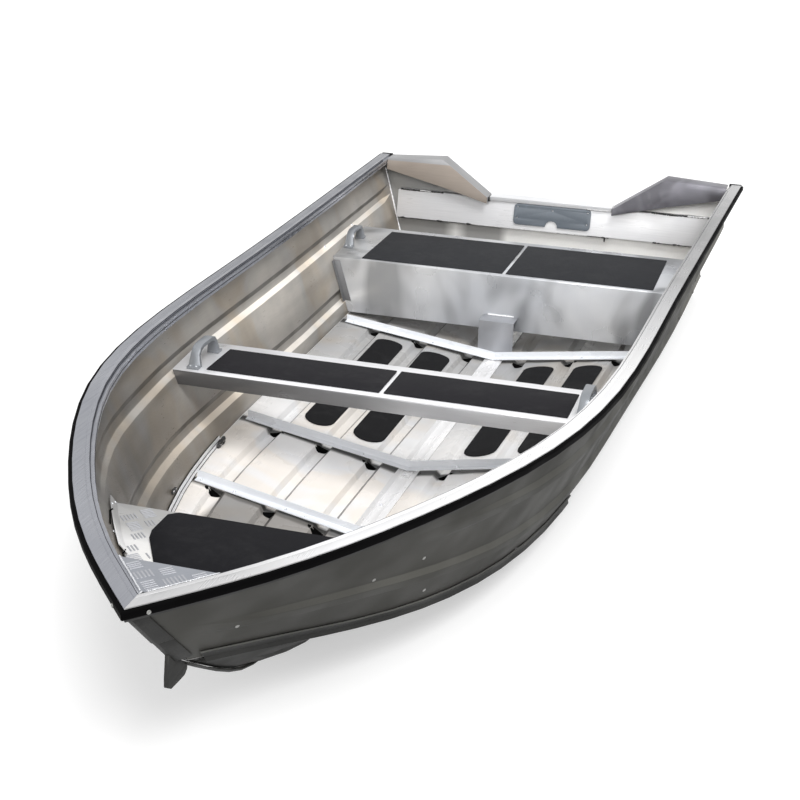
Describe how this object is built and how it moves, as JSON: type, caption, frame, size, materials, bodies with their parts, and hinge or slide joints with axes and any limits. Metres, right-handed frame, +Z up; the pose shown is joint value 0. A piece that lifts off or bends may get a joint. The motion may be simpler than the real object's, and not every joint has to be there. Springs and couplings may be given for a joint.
{
  "type": "aluminium dinghy",
  "caption": "Open aluminium dinghy with a pressed sheet V bottom, full-width thwarts, extruded gunwales with rubber fenders and a transom cut out for an outboard motor.",
  "frame": {"origin": "amidships on the centreline at the surface of the water, 60 mm above the keel line at the transom", "axes": "+X forward towards the bow, +Y to port, +Z up"},
  "size_m": [3.6767, 1.4172, 0.5542],
  "materials": {
    "bare": "mill",
    "hull": "mill, dull outside",
    "bright": "bright",
    "cast": "cast, dull",
    "rubber": "satin",
    "mat": "grained",
    "pad": "satin"
  },
  "bodies": {
    "root": {"bottom_port": "bright", "bottom_starboard": "bright", "bow_eye_plate": "hull", "bow_mat": "mat", "bow_thwart": "bare", "breasthook": "bare", "chine_extrusion_port": "hull", "chine_extrusion_starboard": "hull", "chine_joiner_port": "bright", "chine_joiner_starboard": "bright", "drain_bung": "rubber", "fender_port": "rubber", "fender_starboard": "rubber", "floor_mat_inner_port": "mat", "floor_mat_inner_starboard": "mat", "floor_mat_outer_port": "mat", "floor_mat_outer_starboard": "mat", "frame_aft_port": "bright", "frame_aft_starboard": "bright", "frame_fore_port": "bright", "frame_fore_starboard": "bright", "frame_middle_port": "bright", "frame_middle_starboard": "bright", "gunwale_end_cap_port": "rubber", "gunwale_end_cap_starboard": "rubber", "gunwale_port": "bare", "gunwale_starboard": "bare", "hull_side_port": "hull", "hull_side_starboard": "hull", "keel_bar": "hull", "keel_strip": "bright", "keel_tab_bracket": "bare", "mid_handle_port": "cast", "mid_handle_starboard": "cast", "mid_thwart": "bare", "mid_thwart_mat_port": "mat", "mid_thwart_mat_starboard": "mat", "outer_motor_pad": "pad", "stem_foot": "hull", "stem_head": "hull", "stern_handle_port": "cast", "stern_handle_starboard": "cast", "stern_panel_bracket_port": "bare", "stern_panel_bracket_starboard": "bare", "stern_thwart": "bare", "stern_thwart_mat_port": "mat", "stern_thwart_mat_starboard": "mat", "transom_board": "bright", "transom_capping": "bare", "transom_knee_port": "bare", "transom_knee_starboard": "bare", "transom_pad": "pad", "transom_plate": "bare"}
  },
  "joints": []
}
